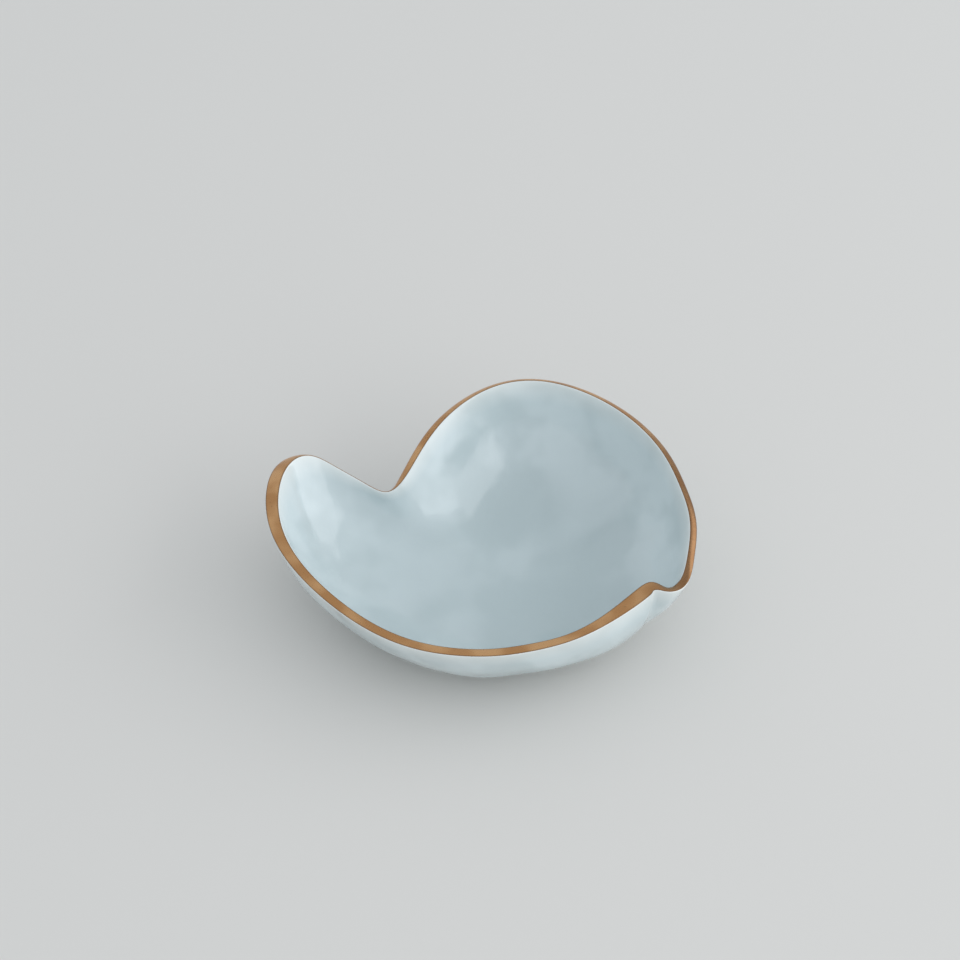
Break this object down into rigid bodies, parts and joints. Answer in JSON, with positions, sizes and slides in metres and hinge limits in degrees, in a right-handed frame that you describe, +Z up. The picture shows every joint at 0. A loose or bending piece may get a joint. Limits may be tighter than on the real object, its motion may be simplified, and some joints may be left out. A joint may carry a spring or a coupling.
{
  "type": "ring dish",
  "caption": "Small free-form porcelain bowl for rings, with a notched and dented gilded lip on a low turned foot.",
  "frame": {"origin": "on the table top, under the middle of the dish's outer box", "axes": "+Z is up, +X runs to the dish's right along its length, +Y to its back, where the lip is highest"},
  "size_m": [0.1212, 0.0933, 0.04],
  "materials": {
    "glaze": "gloss",
    "bisque": "matt",
    "gilding": "satin"
  },
  "bodies": {
    "root": {"dish_shell": "glaze", "foot_ring": "bisque", "gilt_rim": "gilding"}
  },
  "joints": []
}
